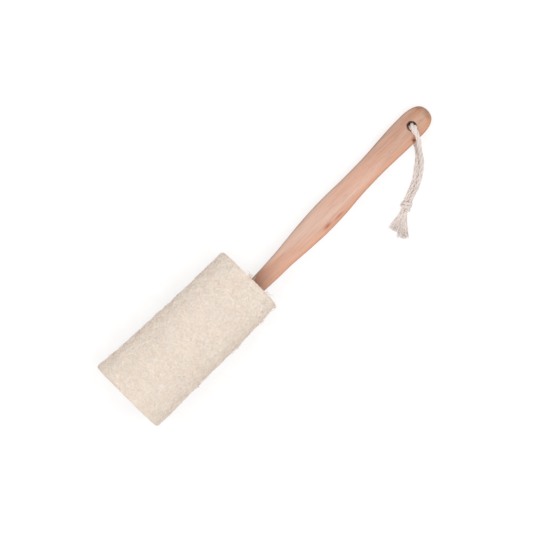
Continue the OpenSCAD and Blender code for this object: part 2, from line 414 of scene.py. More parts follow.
BACK = [
    (0.0, 0.0, MID_Z), (0.0, 0.0, HOLE_BOT + 4.2), (-0.3, -0.6, HOLE_BOT + 1.7), (-1.1, -2.1, 5.8), (-2.5, -4.5, 3.7),
    (-4.1, -7.3, 2.6), (-5.6, -10.0, FLOOR_Z), (-7.5, -13.5, FLOOR_Z), (-9.9, -17.9, FLOOR_Z),
    (-12.7, -21.9, FLOOR_Z), (-15.9, -25.5, FLOOR_Z), (-19.4, -28.9, FLOOR_Z), (-23.3, -31.9, FLOOR_Z),
    (-27.1, -34.9, FLOOR_Z), (-31.0, -37.9, FLOOR_Z), (-35.2, -40.5, FLOOR_Z), (-39.8, -42.8, FLOOR_Z),
    (-44.2, -44.8, 2.8), (-48.2, -46.6, 3.6), (-51.2, -48.1, 4.5)]
HOLE = np.array([HOLE_X, HOLE_Y, 0.0])


def rope_arrays(line, radius, pitch, seed, strands=3, yarns=6, turn0=0.0, spread=None):
    """A soft, slackly laid cotton cord round a line: strands, each of a few yarns round a filling. spread scales it."""
    rng = np.random.default_rng(seed)
    T, S, U = carried_frames(line)
    d = np.concatenate([[0], np.cumsum(np.linalg.norm(np.diff(line, axis=0), axis=1))])
    k = np.ones(len(line)) if spread is None else spread
    paths, radii, tints = [], [], []
    rs = radius * 0.47            # strand centre from the rope's axis
    ry = radius * 0.29            # yarn centre from the strand's axis
    for a in range(strands):
        tone = rng.uniform(0.5, 0.75)
        wob = rng.uniform(0, 6.28)
        w1 = turn0 + 2 * np.pi * (a / strands + d / pitch) + 0.15 * np.sin(d / 9 + wob)
        c1 = rs * k * (1 + 0.05 * np.sin(d / 5 + wob))
        heart = line + (c1 * np.cos(w1))[:, None] * S + (c1 * np.sin(w1))[:, None] * U
        paths.append(heart)
        radii.append(radius * 0.40 * k)
        tints.append(np.full(len(line), tone - 0.1))
        for b in range(yarns):
            w2 = 2 * np.pi * (b / yarns - d / (pitch * 1.1)) + rng.uniform(-0.2, 0.2)
            c2 = ry * k * (1 + 0.14 * np.sin(d / 3.3 + b * 2.1 + wob))
            paths.append(heart + (c2 * np.cos(w1 + w2))[:, None] * S + (c2 * np.sin(w1 + w2))[:, None] * U)
            radii.append(radius * 0.235 * k * (1 + 0.1 * np.sin(d / 1.9 + b + wob)))
            tints.append(np.clip(tone + rng.uniform(-0.15, 0.2) + 0.06 * np.sin(d / 2.3 + b), 0, 1))
    paths.append(line)
    radii.append(radius * 0.5 * k)
    tints.append(np.full(len(line), 0.5))
    V, G = tube_arrays(paths, radii, 7)
    tint = np.repeat(np.array(tints).ravel(), 7)
    return V, G, tint


def fuzz_arrays(line, radius, count, seed, base=0):
    """Short loose hairs that stand a little off a cord."""
    rng = np.random.default_rng(seed)
    T, S, U = carried_frames(line)
    i = rng.integers(1, len(line) - 1, count)
    a = rng.uniform(0, 2 * np.pi, count)
    out = np.cos(a)[:, None] * S[i] + np.sin(a)[:, None] * U[i]
    L = rng.uniform(1.5, 4.0, count)
    lift = rng.uniform(0.15, 0.75, count)
    go = T[i] * rng.choice([-1, 1], count)[:, None]
    t = np.linspace(0, 1, 5)
    side = np.cross(go, out)
    bend = rng.uniform(-0.6, 0.6, count)
    P = (line[i][:, None, :] + out[:, None, :] * (radius * 0.82 + (lift[:, None] * np.sin(t * 2.2)[None, :] * 0.9)[:, :])[:, :, None]
         + go[:, None, :] * (L[:, None] * t[None, :])[:, :, None]
         + side[:, None, :] * ((bend * L)[:, None] * (t ** 2)[None, :])[:, :, None])
    P[..., 2] = np.maximum(P[..., 2], 0.15)
    R = np.full((count, 5), 0.055) * np.array([1, 1, 0.9, 0.8, 0.4])[None, :]
    V, G = tube_arrays(P, R, 3, base=base)
    return V, G, np.repeat(np.full(count * 5, 0.85), 3)


def joined(parts):
    V, groups, tint, base = [], [], [], 0
    for v, g, t in parts:
        V.append(v)
        tint.append(t)
        groups += [x + base for x in g]
        base += len(v)
    return np.concatenate(V), groups, np.concatenate(tint)


def cord_piece(name, route, seed, turn0):
    line = smooth_path([np.array(p) + HOLE for p in route], 0.7)
    # inside the hole the slack cord fills it
    r = np.hypot(line[:, 0] - HOLE_X, line[:, 1] - HOLE_Y)
    full = np.clip((HOLE_TOP - 2.2 - line[:, 2]) / 1.8, 0, 1) * np.clip((line[:, 2] - HOLE_BOT - 2.6) / 1.6, 0, 1) * (r < 2)
    s = np.clip((11.0 - r) / 6.0, 0, 1)
    mouth = (0.5 * s * s * (3 - 2 * s) if route is FRONT else 0.1) * (line[:, 2] > MID_Z)
    slack = line[full > 0.45]
    ring = []
    for a in np.arange(10) * 2 * np.pi / 10 + (0.3 if route is BACK else 0.0):
        w = a + 0.05 * (slack[:, 2] - MID_Z)
        ring.append(np.stack([HOLE_X + 3.02 * np.cos(w), HOLE_Y + 3.02 * np.sin(w), slack[:, 2]], -1))
    rv, rg = tube_arrays(ring, [np.full(len(slack), 1.0)] * 10, 8)
    V, G, tint = joined([
        rope_arrays(line, CORD_D / 2 + 0.08, 24.0, seed, turn0=turn0, spread=1 + 1.0 * full + (1 - full) * mouth),
        (rv, rg, np.full(len(rv), 0.4)),
        # no loose hairs where the front run swings across the handle
        fuzz_arrays(line[r > 24] if route is FRONT else line[14:], CORD_D / 2, 380, seed + 50)])
    V[:, 2] = np.maximum(V[:, 2], 0.06)
    far = np.hypot(V[:, 0] - HOLE_X, V[:, 1] - HOLE_Y)
    # pressed against the hole's wall, never into it
    up = np.abs(V[:, 2] - MID_Z) - 6.2          # below zero inside the hole, above it past the rims
    room = np.interp(up, [-2.3, -1.3, -0.55, 0.0, 0.9], [3.975, 4.18, 4.66, 5.3, 6.3])
    squeeze = np.where((up < 0.9) & (far > room) & (far < 7), room / np.maximum(far, 1), 1.0)
    V[:, 0] = HOLE_X + (V[:, 0] - HOLE_X) * squeeze
    V[:, 1] = HOLE_Y + (V[:, 1] - HOLE_Y) * squeeze
    if route is FRONT:       # its underside rides just clear of the wood, whichever way it swings
        far = np.hypot(V[:, 0] - HOLE_X, V[:, 1] - HOLE_Y)
        ride = HOLE_TOP + 0.085 * far + 0.45
        V[:, 2] = np.where((far > 5.2) & (far < 13) & (V[:, 2] > MID_Z), np.maximum(V[:, 2], ride), V[:, 2])
    # painted shade on the cord inside the hole
    hole_shade = np.clip((HOLE_TOP - 0.4 - V[:, 2]) / 2.2, 0, 1) * np.clip((5.0 - far) / 0.9, 0, 1) * np.clip((V[:, 2] - HOLE_BOT - 0.4) / 1.6, 0, 1)
    return build(name, V, G, COTTON, {"tint": tint, "hole_shade": hole_shade}), line


front, front_line = cord_piece("cord_front", FRONT, 11, 0.4)
back_run, back_line = cord_piece("cord_back", BACK, 12, 1.45)

# ------------------------------------------------------------------ knot
KNOT = np.array([HOLE_X - 55.9, HOLE_Y - 51.9, 5.5])
KDIR = math.radians(207)
KX = np.array([math.cos(KDIR), math.sin(KDIR), 0.0])
KY = np.array([-math.sin(KDIR), math.cos(KDIR), 0.0])
KZ = np.array([0.0, 0.0, 1.0])


def knot_to_row(p):
    p = np.asarray(p, float)
    return KNOT + p[..., :1] * KX + p[..., 1:2] * KY + p[..., 2:3] * KZ


def knot_piece():
    """The doubled cord, wrapped round itself and pulled tight."""
    parts = []
    seed = 31
    frame3 = np.stack([KX, KY, KZ], 1)
    # the pair going in from the runs, through the middle and out to the frayed ends
    for e, s in (((front_line[-1] - KNOT) @ frame3, 1), ((back_line[-1] - KNOT) @ frame3, -1)):
        way = [e + np.array([-0.8, 0, 0]), e + np.array([1.6, 0, 0.1]),
               (-1.2, s * 1.9, -0.1), (1.6, s * 1.7, -0.3), (4.4, s * 1.5, -0.9), (7.2, s * 1.5, -1.8)]
        line = smooth_path(knot_to_row(np.array([np.array(w, float) for w in way])), 0.5)
        parts.append(rope_arrays(line, 2.05, 15.0, seed, turn0=s, strands=3, yarns=5))
        seed += 1
    # the wrap: two turns side by side, crossing over on the upper side
    for lane in (-1, 1):
        t = np.linspace(0, 1, 120)
        a = np.radians(-175 + 590 * t)
        tuck = np.clip(np.minimum(t, 1 - t) / 0.1, 0, 1) ** 0.7
        x = -4.0 + 7.0 * t + lane * (1.35 + 0.25 * np.sin(a + 0.6)) + 0.9 * np.sin(a)
        ry = 1.6 + (2.35 + 0.25 * np.sin(2 * a + lane)) * tuck
        rz = 1.4 + 2.0 * tuck
        pts = np.stack([x, ry * np.cos(a), rz * np.sin(a) - 0.15], -1)
        line = evenly(knot_to_row(pts), 0.5)
        parts.append(rope_arrays(line, 1.75, 12.0, seed, turn0=lane, strands=3, yarns=5))
        seed += 1
    V, G, tint = joined(parts)
    V[:, 2] = np.maximum(V[:, 2], 0.12)
    return build("cord_knot_laid", V, G, COTTON, {"tint": tint})


knot = knot_piece()


# ------------------------------------------------------------------ frayed ends
def tassel_piece():
    rng = np.random.default_rng(5)
    parts = []
    N = 16
    for tail, (turn, length, fan, count) in enumerate(((-7, 22.0, 10.0, 110), (14, 26.5, 10.0, 190))):
        t = np.linspace(0, 1, N)
        ang = np.radians(turn + fan * rng.uniform(-1.15, 1.15, count))
        L = length * (1.02 - 0.26 * rng.random(count) ** 1.8)
        y0 = rng.normal(0, 0.9, count).clip(-1.9, 1.9)
        z0 = rng.normal(0, 0.7, count).clip(-1.5, 1.5)
        start = np.stack([np.full(count, 5.4), y0 + (1.1 if tail else -1.1), z0 - 1.9], -1)
        spread = (t ** 1.35)[None, :]
        wave = rng.uniform(0, 6.28, (count, 2))
        amp = rng.uniform(0.25, 0.9, (count, 1))
        x = start[:, :1] + L[:, None] * t[None, :] * np.cos(ang)[:, None]
        y = start[:, 1:2] + L[:, None] * spread * np.sin(ang)[:, None] + amp * np.sin(wave[:, :1] + 5.5 * t[None, :]) * t[None, :]
        zend = rng.uniform(0.25, 2.6, count) - KNOT[2]
        z = start[:, 2:3] * (1 - spread) + zend[:, None] * spread + 0.5 * amp * np.sin(wave[:, 1:2] + 6.5 * t[None, :]) * t[None, :]
        P = knot_to_row(np.stack([x, y, z], -1))
        P[..., 2] = np.maximum(P[..., 2], 0.3)
        r = rng.uniform(0.17, 0.3, count)[:, None] * (1 - 0.55 * t[None, :] ** 3)
        V, G = tube_arrays(P, r, 5)
        tint = np.repeat(np.repeat(rng.uniform(0.1, 0.95, count)[:, None], N, 1).ravel(), 5)
        parts.append((V, G, tint))
    V, G, tint = joined(parts)
    V[:, 2] = np.maximum(V[:, 2], 0.1)
    return build("frayed_yarns", V, G, YARN, {"tint": tint})


tassel = tassel_piece()

for piece in (front, back_run, knot, tassel):
    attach(piece, "hang_cord")
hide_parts("cord_front_run")
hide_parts("cord_back_run")
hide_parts("cord_knot")
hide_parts("frayed_ends")


# ------------------------------------------------------------------ handle
GRIP = np.array([
    [-24, -8.5, 6.7, 6.3], [-6, -8.5, 8.1, 6.4], [8, -8.25, 8.7, 6.5], [22, -7.75, 9.25, 6.6], [36, -7.0, 9.9, 6.8],
    [50, -6.4, 11.0, 7.0], [65, -5.75, 12.25, 7.3], [80, -5.15, 13.25, 7.5], [95, -4.4, 13.5, 7.5],
    [112, -3.5, 13.1, 7.4], [130, -2.4, 12.2, 7.2], [146, -1.55, 11.8, 7.0], [162, -0.8, 12.0, 6.8],
    [180, 0.1, 12.8, 6.6], [197, 0.8, 13.5, 6.4], [213, 1.3, 13.7, 6.2], [235, 1.3, 13.7, 6.0]])


def station(d, k):
    i = int(np.clip(np.searchsorted(GRIP[:, 0], d, side="right") - 1, 0, len(GRIP) - 2))
    u = np.clip((d - GRIP[i, 0]) / (GRIP[i + 1, 0] - GRIP[i, 0]), 0, 1)
    p0, p1, p2, p3 = (GRIP[max(0, i - 1), k], GRIP[i, k], GRIP[i + 1, k], GRIP[min(len(GRIP) - 1, i + 2), k])
    return 0.5 * (2 * p1 + (p2 - p0) * u + (2 * p0 - 5 * p1 + 4 * p2 - p3) * u * u + (3 * p1 - p0 - 3 * p2 + p3) * u ** 3)


def handle_piece():
    CAP = 23.0
    n = 96
    ts = (np.arange(n) + 0.5) * 2 * np.pi / n
    ds = list(np.arange(-138, -24, 3.0)) + list(np.arange(-24, 212, 1.25)) + [235 - CAP * math.cos(math.radians(u)) for u in np.arange(0, 90, 3.0)] + [234.9]
    rings, age, side, spots_and_cord_shadow, edge, tip, neck = [], [], [], [], [], [], []
    for d in ds:
        if d < -24:
            e = 2.0 + 0.7 * np.clip((d + 40) / 16, 0, 1)
            a = b = np.interp(d, [-138, -137, -134, -24], [4.4, 5.4, 6.0, 6.25])
            y, z = CH_Y, float(on_axis(np.array(LOOF_L + d), 0.0, CH_Z)[2])
        else:
            c = min(max(0.0, (d - (235 - CAP)) / CAP), 0.9995)
            a = max(0.6, station(d, 2) * (1 - c ** 2.5) ** (1 / 2.5))
            b = max(0.6, station(d, 3) * (1 - c ** 4) ** (1 / 2.2))
            y = station(d, 1)
            z = NECK_Z - (0.02 * max(d, -24) + 0.000104 * max(d, 0) ** 2)
            e = 2.7
        cy = np.sign(np.cos(ts)) * np.abs(np.cos(ts)) ** (2 / e)
        cz = np.sign(np.sin(ts)) * np.abs(np.sin(ts)) ** (2 / e)
        # hand-sanded unevenness, a few hundredths of a millimetre to a tenth
        wob = 1 + 0.004 * np.sin(d / 17 + 3 * ts) + 0.003 * np.sin(d / 7.3 - 2 * ts)
        rings.append(np.stack([np.full(n, FACE_X + d), y - a * cy * wob, z + b * cz * wob], -1))
        dark = 0.9 * np.clip(1 - d / 40, 0, 1) ** 1.3 if d > 0 else 0.9
        age.append(np.full(n, dark) + 0.85 * np.clip((d - 150) / 60, 0, 1))
        neck.append(0.8 * np.clip(1 - d / 26, 0, 1) ** 1.5 * (1 - 0.75 * np.clip((cy - 0.1) / 0.6, 0, 1)))
        # painted shade on the outermost sides, weaker underneath, and at the very tip
        edge.append(0.85 * np.clip((np.abs(cy) - 0.80) / 0.20, 0, 1) ** 2.4 * (0.25 + 0.75 * (cz > -0.35)) + 0.6 * np.clip((d - 227) / 8, 0, 1))
        yy, dd = y - a * cy, d + 0 * cy
        tip.append(0.25 * np.clip((d - 205) / 22, 0, 1)
                   + 0.75 * np.exp(-((dd - 230.6) / 1.5) ** 2 - ((yy + 3.0) / 2.6) ** 2) * (cz > 0))
        # painted highlight: the lower edge towards -Y has a warmer, lighter tone along the bevel, as if lit there
        side.append(0.7 * np.exp(-((np.arctan2(cz, cy) - 0.55) / 0.42) ** 2) * np.clip((d + 4) / 24, 0, 1))
        spots_and_cord_shadow.append(0.9 * np.exp(-((d - 88) / 4.5) ** 2 - ((-a * cy + 8.5) / 1.3) ** 2) * (cz > 0)
                    + 0.7 * np.exp(-((d - 103) / 5.5) ** 2 - ((-a * cy + 9.6) / 0.9) ** 2) * (cz > 0)
                    # painted shadow: darker where the cord hangs over the edge
                    + 0.95 * np.exp(-((d - 205.2) / 1.7) ** 2 - ((y - a * cy + 10.6) / 2.2) ** 2))
    V = np.concatenate(rings)
    m = len(ds)
    i = np.arange(m - 1)[:, None] * n
    j = np.arange(n)[None, :]
    j2 = (j + 1) % n
    quads = np.stack([i + j, i + n + j, i + n + j2, i + j2], -1).reshape(-1, 4)
    start = np.arange(n)[None, :]
    end = ((m - 1) * n + np.arange(n)[::-1])[None, :]
    ob = build("handle_wood", V, [quads, start, end], WOOD,
               {"age": np.clip(np.concatenate(age), 0, 1), "side": np.concatenate(side), "spots_and_cord_shadow": np.concatenate(spots_and_cord_shadow),
                "edge": np.concatenate(edge), "tip": np.clip(np.concatenate(tip), 0, 1),
                "neck": np.clip(np.concatenate(neck), 0, 1)})
    # the hanging hole, with eased rims
    prof = [(7.6, HOLE_TOP + 2.4), (6.4, HOLE_TOP + 0.9), (5.4, HOLE_TOP + 0.0), (4.75, HOLE_TOP - 0.55), (4.25, HOLE_TOP - 1.3),
            (4.03, HOLE_TOP - 2.3), (4.0, HOLE_TOP - 4), (4.0, HOLE_BOT + 4), (4.03, HOLE_BOT + 2.3),
            (4.25, HOLE_BOT + 1.3), (4.75, HOLE_BOT + 0.55), (5.4, HOLE_BOT), (6.4, HOLE_BOT - 0.9), (7.6, HOLE_BOT - 2.4)]
    k = 64
    aa = np.arange(k) * 2 * np.pi / k
    CV = np.concatenate([np.stack([HOLE_X + r * np.cos(aa), HOLE_Y + r * np.sin(aa), np.full(k, z)], -1) for r, z in prof])
    i = np.arange(len(prof) - 1)[:, None] * k
    j = np.arange(k)[None, :]
    j2 = (j + 1) % k
    q = np.stack([i + j, i + k + j, i + k + j2, i + j2], -1).reshape(-1, 4)
    cutter = build("cutter", CV, [q, np.arange(k)[None, :], ((len(prof) - 1) * k + np.arange(k)[::-1])[None, :]], WOOD)
    mod = ob.modifiers.new("hole", "BOOLEAN")
    mod.operation, mod.object, mod.solver = "DIFFERENCE", cutter, "EXACT"
    bpy.context.view_layer.update()
    dg = bpy.context.evaluated_depsgraph_get()
    cut = bpy.data.meshes.new_from_object(ob.evaluated_get(dg), depsgraph=dg)
    ob.modifiers.clear()
    old = ob.data
    ob.data = cut
    bpy.data.meshes.remove(old)
    bpy.data.objects.remove(cutter, do_unlink=True)
    co = np.empty(len(cut.vertices) * 3, np.float32)
    cut.vertices.foreach_get("co", co)
    co = co.reshape(-1, 3) / MM
    r = np.hypot(co[:, 0] - HOLE_X, co[:, 1] - HOLE_Y)
    # painted shade inside the hole, reaching further out on the +Y side
    reach = 4.5 + 0.9 * np.clip((co[:, 1] - HOLE_Y) / np.maximum(r, 0.1), 0, 1) ** 2
    inside = np.clip((reach - r) / 0.5, 0, 1) * (np.abs(co[:, 2] - MID_Z) < 6.6)
    # painted shadow on the edge just beside where the cord hangs over it
    inside = np.maximum(inside, 0.85 * np.exp(-((co[:, 0] - 170.7) ** 2 + (co[:, 1] + 10.3) ** 2) / 1.5 ** 2) * (co[:, 2] > MID_Z))
    at = cut.attributes.new("bore", "FLOAT", "POINT")
    at.data.foreach_set("value", inside.astype(np.float32))
    return ob


handle = handle_piece()
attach(handle, "scrubber")
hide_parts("handle")


# ------------------------------------------------------------------ loofah
X1 = LOOF_L - 0.8        # the mat's own end at the handle


def hollow(lx, phi):
    """How far each side of the gourd lies inside its plain taper; it isn't quite straight on either side."""
    c = np.cos(phi)
    left = np.interp(lx, [0, 8, 16, 30, 45, 62, 75, 90, 164], [0, 0.2, 1.3, 1.7, 1.5, 1.1, 0.7, 0.2, 0])
    right = np.interp(lx, [0, 20, 45, 60, 110, 135, 145, 152, 164], [-0.9, -0.8, -0.1, 0.3, 0.5, 1.4, 1.8, 2.7, 3.2])
    return left * np.clip(c, 0, 1) ** 2 + right * np.clip(-c, 0, 1) ** 2


def wall_radius(lx, phi):
    """The outer radius of the fibre mat, with the gourd's slight natural waviness and its softened rims."""
    r = RF - (RF - RN) * lx / LOOF_L
    r = r + 0.35 * np.sin(3 * phi + 0.045 * lx) + 0.25 * np.sin(5 * phi - 0.03 * lx + 1.0) + 0.3 * np.sin(lx / 21 + 2 * phi)
    r = r - hollow(lx, phi)
    r = r + 0.22 * np.sin(lx / 3.1 + 9 * phi) * np.sin(lx / 7.7 - 4 * phi + 0.7)
    for d, k in ((lx, 2.4), (X1 - lx, 3.2)):
        e = np.clip(1 - d / k, 0, 1)
        r = r - k * 0.85 * (1 - np.sqrt(np.clip(1 - e * e, 0, 1)))
    return r - 0.8


def skewed(P):
    """Both cut ends lean by the same small angle."""
    P = P.copy()
    P[..., 0] -= math.tan(SKEW) * P[..., 1]
    return P


def rest_on_floor(P, lift=0.25):
    """The underside is pressed flat where the loofah lies."""
    P = P.copy()
    z = P[..., 2]
    P[..., 2] = np.where(z < 1.2, lift + np.clip(z + 0.6, 0, 1.8) * (1.2 - lift) / 1.8, z)
    return P


def in_channel(y, z, grow=0.0):
    hit = np.zeros(np.shape(y), bool)
    for cy, cz in CHANNELS:
        hit |= (y - cy) ** 2 + (z - cz) ** 2 < (CH_D / 2 + grow) ** 2
    return hit


def wall_bed():
    """The dense mat under the loose surface fibres: a closed ring of the wall's shape."""
    nx, nphi = 150, 240
    rng = np.random.default_rng(3)
    xs = np.concatenate([np.linspace(0, 4, 9), np.linspace(4, X1 - 4, nx)[1:-1], np.linspace(X1 - 4, X1, 9)])
    phi = np.arange(nphi) * 2 * np.pi / nphi
    X, PH = np.meshgrid(xs, phi, indexing="ij")
    R = wall_radius(X, PH) - 0.55 + rng.normal(0, 0.16, X.shape)
    inner = 30.6
    rings = [(X[i], R[i]) for i in range(len(xs))]
    # end ring towards the core, then the bore, then the other end ring
    for f in (0.75, 0.5, 0.25):
        rings.append((np.full(nphi, X1) + rng.normal(0, 0.25, nphi), inner + (R[-1] - inner) * f))
    rings.append((np.full(nphi, X1 - 0.3), np.full(nphi, inner)))
    rings.append((np.full(nphi, 0.3), np.full(nphi, inner)))
    for f in (0.25, 0.5, 0.75):
        rings.append((np.zeros(nphi) + rng.normal(0, 0.25, nphi), inner + (R[0] - inner) * f))
    V = []
    for x, r in rings:
        V.append(on_axis(x, r * np.cos(phi), r * np.sin(phi)))
    m = len(rings)
    V = rest_on_floor(skewed(np.concatenate(V)), 0.35)
    i = (np.arange(m)[:, None]) * nphi
    i2 = ((np.arange(m) + 1) % m)[:, None] * nphi
    j = np.arange(nphi)[None, :]
    j2 = (j + 1) % nphi
    quads = np.stack([i + j, i + j2, i2 + j2, i2 + j], -1).reshape(-1, 4)
    return build("loofah_wall_bed", V, [quads], BED)


def core_bed():
    """The core: webs between three uneven seed channels, cut from a closed cylinder and roughened."""
    def tube(name, cx, cy, r, x0, x1, wob, seed, nx=60, n=56):
        rng = np.random.default_rng(seed)
        a = np.arange(n) * 2 * np.pi / n
        p1, p2, p3 = rng.uniform(0, 6.28, 3)
        V = []
        for x in np.linspace(x0, x1, nx):
            rr = r + wob * (0.5 * np.sin(3 * a + p1 + x / 40) + 0.35 * np.sin(2 * a + p2 - x / 26) + 0.25 * np.sin(5 * a + p3 + x / 15))
            V.append(on_axis(np.full(n, x), cx + rr * np.cos(a), cy + rr * np.sin(a)))
        V = np.concatenate(V)
        i = np.arange(nx - 1)[:, None] * n
        j = np.arange(n)[None, :]
        j2 = (j + 1) % n
        q = np.stack([i + j, i + j2, i + n + j2, i + n + j], -1).reshape(-1, 4)
        return build(name, V, [q, np.arange(n)[None, ::-1], ((nx - 1) * n + np.arange(n))[None, :]], BED)

    ob = tube("loofah_core_bed", 0.0, 0.0, 30.5, 0.9, LOOF_L - 1.6, 0.15, 1, n=160)
    ob.data.transform(Matrix(((1, -math.tan(SKEW), 0, 0), (0, 1, 0, 0), (0, 0, 1, 0), (0, 0, 0, 1))))
    cutters = [tube("cut%d" % i, cy, cz, CH_D / 2 + 0.1, -6, LOOF_L + 6, 1.1 if i else 0.3, 20 + i) for i, (cy, cz) in enumerate(CHANNELS)]
    for c in cutters:
        mod = ob.modifiers.new(c.name, "BOOLEAN")
        mod.operation, mod.object, mod.solver = "DIFFERENCE", c, "EXACT"
    rm = ob.modifiers.new("remesh", "REMESH")
    rm.mode, rm.voxel_size = "VOXEL", 0.0016
    bpy.context.view_layer.update()
    dg = bpy.context.evaluated_depsgraph_get()
    me = bpy.data.meshes.new_from_object(ob.evaluated_get(dg), depsgraph=dg)
    ob.modifiers.clear()
    old = ob.data
    ob.data = me
    bpy.data.meshes.remove(old)
    for c in cutters:
        bpy.data.objects.remove(c, do_unlink=True)
    # uneven, as a mat of fibre is
    n = len(me.vertices)
    co = np.empty(n * 3, np.float32)
    me.vertices.foreach_get("co", co)
    no = np.empty(n * 3, np.float32)
    me.vertices.foreach_get("normal", no)
    co, no = co.reshape(-1, 3), no.reshape(-1, 3)
    rng = np.random.default_rng(9)
    co += no * rng.normal(0, 0.00022, n)[:, None].astype(np.float32)
    me.vertices.foreach_set("co", co.ravel())
    me.polygons.foreach_set("use_smooth", np.ones(len(me.polygons), bool))
    if not me.materials:
        me.materials.append(BED)
    me.update()
    return ob


def side_shade_of(lx, phi):
    """How far a place is down the loofah's side or at a cut rim, where shade is painted into its colour."""
    low = np.clip((0.6 - np.sin(phi)) / 0.85, 0, 1) ** 1.2
    rim = 0.35 * np.clip(1 - np.minimum(lx, X1 - lx) / 2.6, 0, 1)
    return np.clip(low + rim, 0, 1)


def surface_fibres(name, count, seed, depth, thick, length, mat=None, wild=0.0):
    """Curved fibres lying in the outer surface, most of them nearly round the gourd, the rest every way."""
    rng = np.random.default_rng(seed)
    N = 7
    t = np.linspace(-0.5, 0.5, N)
    lx = rng.uniform(0, LOOF_L - 0.8, count)
    ph = rng.uniform(0, 2 * np.pi, count)
    L = rng.uniform(*length, count)
    ang = np.where(rng.random(count) < 0.45, np.pi / 2 + rng.normal(0, 0.55, count), rng.uniform(0, np.pi, count))
    curve = rng.normal(0, 0.11, count)
    wob = rng.uniform(0, 6.28, (count, 2))
    amp = rng.uniform(0.2, 0.9, count)
    s = t[None, :] * L[:, None]
    direction = ang[:, None] + curve[:, None] * s
    step = (L / (N - 1))[:, None]
    ax = np.cumsum(np.cos(direction) * step, 1)
    around = np.cumsum(np.sin(direction) * step, 1)
    ax = ax - ax[:, N // 2:N // 2 + 1] + amp[:, None] * 0.5 * np.sin(wob[:, :1] + 4.5 * t[None, :] * 2)
    around = around - around[:, N // 2:N // 2 + 1] + amp[:, None] * 0.5 * np.sin(wob[:, 1:] + 5.0 * t[None, :] * 2)
    X = np.clip(lx[:, None] + ax, 0.1, X1)
    PH = ph[:, None] + around / 39.0
    d0 = rng.uniform(depth[0], depth[1], count)[:, None]
    und = 0.28 * np.sin(wob[:, :1] * 3 + 9 * t[None, :])
    stray = (rng.random(count) < wild)[:, None] * np.clip(np.abs(t)[None, :] * 2 - 0.35, 0, 1) ** 1.3 * rng.uniform(0.6, 2.6, count)[:, None]
    R = wall_radius(X, PH) + d0 + und + stray
    P = on_axis(X, R * np.cos(PH), R * np.sin(PH))
    P = rest_on_floor(skewed(P), 0.3)
    rad = rng.uniform(*thick, count)[:, None] * (1 - 0.75 * (2 * np.abs(t)[None, :]) ** 4)
    side_shade = side_shade_of(X, PH)
    out = np.stack([0 * ph, np.cos(ph), np.sin(ph)], -1)
    V, G = tube_arrays(P, rad, 4, ref=out)
    V[:, 2] = np.maximum(V[:, 2], 0.05)
    depth_t = (d0 - depth[0]) / (depth[1] - depth[0])
    # deeper fibres are coloured a little darker, painted shade, on top of a random tone
    tint = np.clip(0.15 + 0.5 * depth_t + rng.normal(0, 0.2, (count, 1)), 0, 1)
    tint = np.repeat(np.repeat(tint, N, 1).ravel(), 4)
    return build(name, V, G, mat or WALL_FIBRE, {"tint": tint, "side_shade": np.repeat(side_shade.ravel(), 4)})


